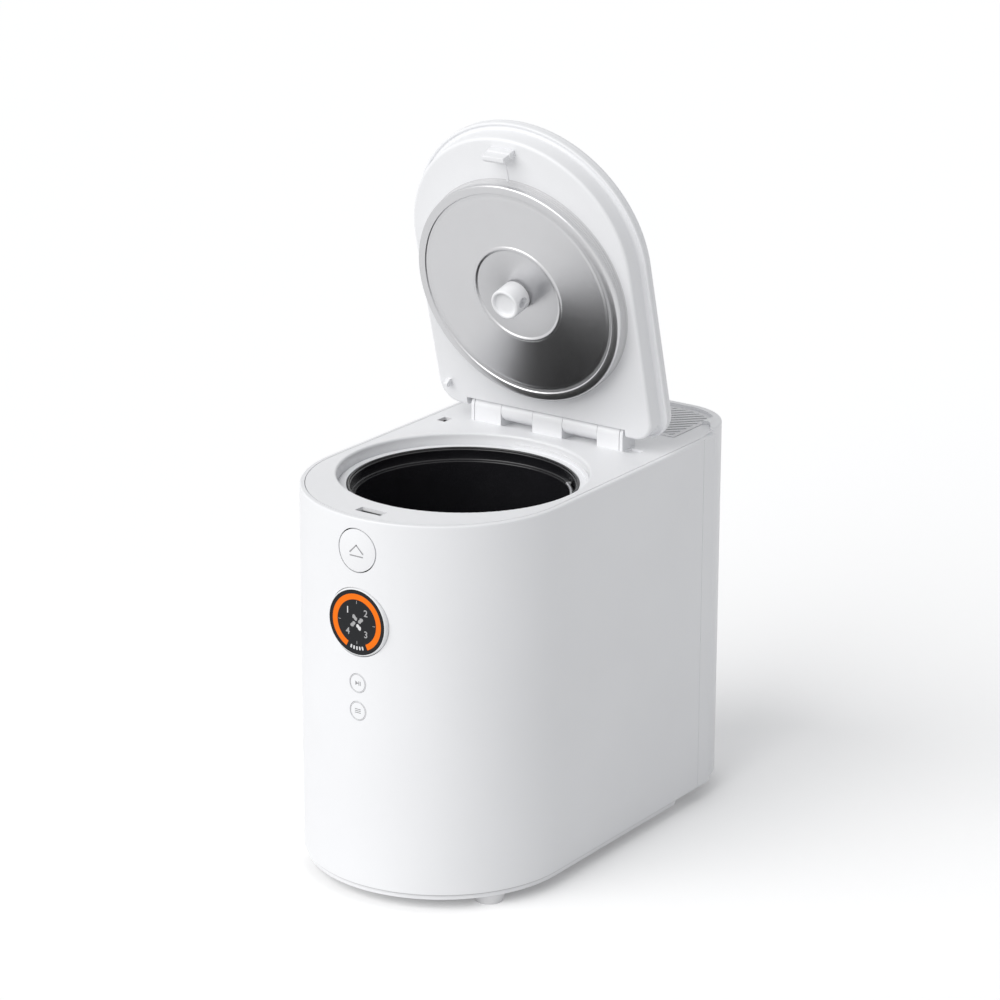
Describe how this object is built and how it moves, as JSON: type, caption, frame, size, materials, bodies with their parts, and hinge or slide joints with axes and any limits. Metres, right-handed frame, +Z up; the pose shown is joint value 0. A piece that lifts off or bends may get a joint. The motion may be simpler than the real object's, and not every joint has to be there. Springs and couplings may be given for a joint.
{
  "type": "kitchen waste composter",
  "caption": "White countertop food-waste composter: D-shaped body, sprung hinged lid with steel plate, black lift-out bucket with bail and paddle, geared drive, heater, fan and filter.",
  "frame": {"origin": "on the floor, under the middle of the body's width and depth", "axes": "+X to the right, +Y to the back, where the lid is hinged, and +Z up; the front controls face -Y; the lid is open"},
  "size_m": [0.23, 0.4002, 0.605],
  "materials": {
    "white_shell": "satin white moulded plastic",
    "grey_plastic": "matt",
    "grille_plastic": "matt white",
    "black_plastic": "matt",
    "red_plastic": "satin",
    "foot_rubber": "matt pale silicone rubber",
    "display_glass": "gloss smoked lens",
    "orange_light": "lit orange diffuser",
    "board": "solder mask",
    "bucket_coat": "satin black non-stick coating",
    "steel": "satin",
    "aluminium": "satin",
    "brass": "machined",
    "wool": "felted mineral wool"
  },
  "bodies": {
    "base": {"outer_shell": "white_shell", "top_panel": "white_shell", "seat_ring": "white_shell", "base_tray": "white_shell", "rubber_feet": "foot_rubber", "rear_cover": "white_shell", "case_screws": "steel", "filter_tray": "grey_plastic", "filter_cartridge": "black_plastic", "filter_seal": "foot_rubber", "air_duct": "grey_plastic", "fan_housing": "black_plastic", "display_bezel": "white_shell", "display_lens": "display_glass", "light_ring": "orange_light", "display_board": "board", "push_spring": "steel", "latch_bracket": "grey_plastic", "micro_switch": "black_plastic", "chamber_liner": "aluminium", "insulation_pad": "wool", "heater_plate": "aluminium", "thermostat": "black_plastic", "chassis_plate": "steel", "chassis_screws": "steel", "shaft_bearings": "steel", "drive_motor": "aluminium", "gearbox_housing": "grey_plastic", "gearbox_lid": "grey_plastic", "control_board": "board", "power_board": "board", "power_inlet": "black_plastic", "hinge_pin": "steel", "hinge_spring": "steel"},
    "lid": {"lid_outer_cover": "white_shell", "lid_inner_panel": "white_shell", "steel_plate": "steel", "plate_gasket": "foot_rubber", "lid_hook": "white_shell", "switch_peg": "white_shell"},
    "knob": {"plate_knob": "white_shell", "knob_clip": "black_plastic"},
    "grille": {"filter_cover": "grille_plastic"},
    "fan": {"fan_rotor": "black_plastic"},
    "release": {"push_button": "white_shell", "latch_slider": "grey_plastic"},
    "play_key": {"play_button": "white_shell"},
    "mode_key": {"mode_button": "white_shell"},
    "plunger": {"switch_plunger": "red_plastic"},
    "bin": {"bucket": "bucket_coat", "shaft_seal": "foot_rubber"},
    "bail": {"bail_handle": "steel"},
    "stirrer": {"paddle": "steel", "bucket_coupling": "black_plastic"},
    "output": {"drive_coupling": "black_plastic", "output_shaft": "steel", "output_gear": "brass"},
    "idler": {"idler_gear": "brass"},
    "pinion": {"motor_pinion": "brass"}
  },
  "joints": [
    {"name": "lid_hinge", "type": "hinge", "parent": "base", "child": "lid", "pos_m": [0, 0.07265, 0.3403], "axis": [1, 0, 0], "range_deg": [0, 75.5], "stiffness_Nm_per_rad": 0.6, "springref_deg": -51.57},
    {"name": "knob_turn", "type": "hinge", "parent": "lid", "child": "knob", "pos_m": [0, 0.02082, 0.45962], "axis": [0, 0.9681, 0.2504], "range_deg": [0, 90]},
    {"name": "release_press", "type": "slide", "parent": "base", "child": "release", "axis": [0, 1, 0], "range_m": [0, 0.003], "stiffness_N_per_m": 500, "springref_m": -0.002, "deforming": ["push_spring"]},
    {"name": "play_press", "type": "slide", "parent": "base", "child": "play_key", "axis": [0, 1, 0], "range_m": [0, 0.0005], "stiffness_N_per_m": 600, "springref_m": -0.001},
    {"name": "mode_press", "type": "slide", "parent": "base", "child": "mode_key", "axis": [0, 1, 0], "range_m": [0, 0.0005], "stiffness_N_per_m": 600, "springref_m": -0.001},
    {"name": "plunger_press", "type": "slide", "parent": "base", "child": "plunger", "axis": [0, 0, -1], "range_m": [0, 0.0015], "stiffness_N_per_m": 200, "springref_m": -0.002},
    {"name": "bucket_lift", "type": "slide", "parent": "base", "child": "bin", "axis": [0, 0, -1], "range_m": [-0.06, 0]},
    {"name": "bail_swing", "type": "hinge", "parent": "bin", "child": "bail", "pos_m": [0, -0.05585, 0.3099], "axis": [0.6428, 0.766, 0], "range_deg": [-180, 0]},
    {"name": "paddle_turn", "type": "hinge", "parent": "bin", "child": "stirrer", "pos_m": [0, -0.05585, 0.14], "axis": [0, 0, 1], "continuous": true},
    {"name": "output_turn", "type": "hinge", "parent": "base", "child": "output", "pos_m": [0, -0.05585, 0.09], "axis": [0, 0, 1], "continuous": true},
    {"name": "idler_turn", "type": "hinge", "parent": "base", "child": "idler", "pos_m": [0, -0.00685, 0.09], "axis": [0, 0, 1], "continuous": true},
    {"name": "motor_turn", "type": "hinge", "parent": "base", "child": "pinion", "pos_m": [0, 0.03815, 0.09], "axis": [0, 0, 1], "continuous": true},
    {"name": "fan_spin", "type": "hinge", "parent": "base", "child": "fan", "pos_m": [0, 0.15415, 0.225], "axis": [0, 0, 1], "continuous": true},
    {"name": "cover_lift", "type": "slide", "parent": "base", "child": "grille", "axis": [0, 0, 1], "range_m": [0, 0.02]}
  ],
  "couplings": [
    {"joint": "output_turn", "follows": "paddle_turn", "ratio": 1},
    {"joint": "idler_turn", "follows": "paddle_turn", "ratio": -3},
    {"joint": "motor_turn", "follows": "paddle_turn", "ratio": 12}
  ]
}
